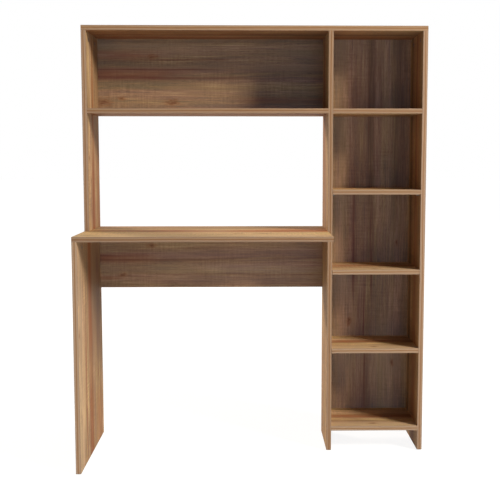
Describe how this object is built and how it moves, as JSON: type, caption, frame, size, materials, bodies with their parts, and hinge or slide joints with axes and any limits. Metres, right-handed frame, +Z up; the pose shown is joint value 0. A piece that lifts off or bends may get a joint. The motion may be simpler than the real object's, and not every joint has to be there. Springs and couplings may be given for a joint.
{
  "type": "student desk with hutch",
  "caption": "Student desk with a modesty panel, an open hutch shelf over the desktop and a tall open bookshelf tower on its right, in wood-grain faced board.",
  "frame": {"origin": "on the floor, at the middle of the desk's width and depth", "axes": "+Z up; the front faces -Y; +X to the right as seen from the front, towards the tower"},
  "size_m": [1.127, 0.453, 1.416],
  "materials": {
    "board_decor": "matt wood-grain paper décor on chipboard, brown with grey and reddish streaks",
    "back_sheet": "thin fibreboard, the same décor on its front face and bare brown behind",
    "edge_band": "one millimetre wood-grain edge strip, satin",
    "cast_zinc": "bare zinc casting",
    "plated_steel": "zinc-plated steel",
    "beech_dowel": "plain beech",
    "foot_plastic": "dark moulded plastic"
  },
  "bodies": {
    "root": {"cam_bolts": "plated_steel", "cam_locks": "cast_zinc", "confirmat_screws": "plated_steel", "desk_leg": "board_decor", "desk_leg_edging": "edge_band", "desktop": "board_decor", "desktop_edging": "edge_band", "end_dowels": "beech_dowel", "foot_pads": "foot_plastic", "hutch_back": "back_sheet", "hutch_left_side": "board_decor", "hutch_left_side_edging": "edge_band", "hutch_shelf": "board_decor", "hutch_shelf_edging": "edge_band", "modesty_panel": "board_decor", "modesty_panel_edging": "edge_band", "shelf_pins": "plated_steel", "through_dowels": "beech_dowel", "top_panel": "board_decor", "top_panel_edging": "edge_band", "tower_back": "back_sheet", "tower_bottom_shelf": "board_decor", "tower_bottom_shelf_edging": "edge_band", "tower_left_side": "board_decor", "tower_left_side_edging": "edge_band", "tower_right_side": "board_decor", "tower_right_side_edging": "edge_band", "tower_shelf_1": "board_decor", "tower_shelf_1_edging": "edge_band", "tower_shelf_2": "board_decor", "tower_shelf_2_edging": "edge_band", "tower_shelf_3": "board_decor", "tower_shelf_3_edging": "edge_band", "tower_shelf_4": "board_decor", "tower_shelf_4_edging": "edge_band"}
  },
  "joints": []
}
